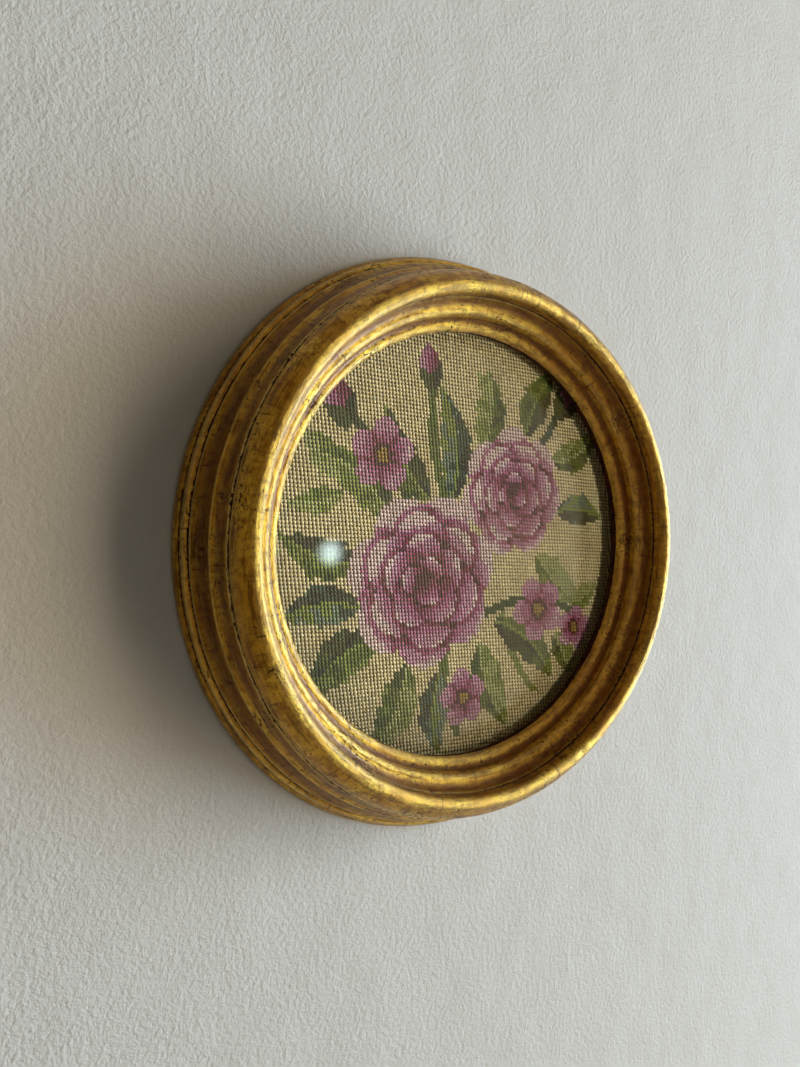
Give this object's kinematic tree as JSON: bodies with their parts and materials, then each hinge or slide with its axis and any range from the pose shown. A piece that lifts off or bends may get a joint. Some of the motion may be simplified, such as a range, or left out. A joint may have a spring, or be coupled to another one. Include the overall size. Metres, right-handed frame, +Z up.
{
  "type": "stitched flower picture in a round gilt frame",
  "caption": "Round stepped gilt wood frame for a wall, holding a stitched flower picture flat on a board behind domed glass.",
  "frame": {"origin": "centre of the flat back, on the plane of the wall", "axes": "+Y into the wall and along the turning axis, so the picture faces -Y; +Z up the picture"},
  "size_m": [0.1626, 0.0229, 0.1626],
  "materials": {
    "gilt_wood": "gilded turned wood, rubbed and speckled",
    "picture_glass": "clear, polished",
    "stitched_canvas": "tent stitch in cotton on canvas",
    "brown_board": "plain brown pressed board"
  },
  "bodies": {
    "root": {"gilt_moulding": "gilt_wood", "domed_glass": "picture_glass", "stitched_cloth": "stitched_canvas", "backing_board": "brown_board"}
  },
  "joints": []
}
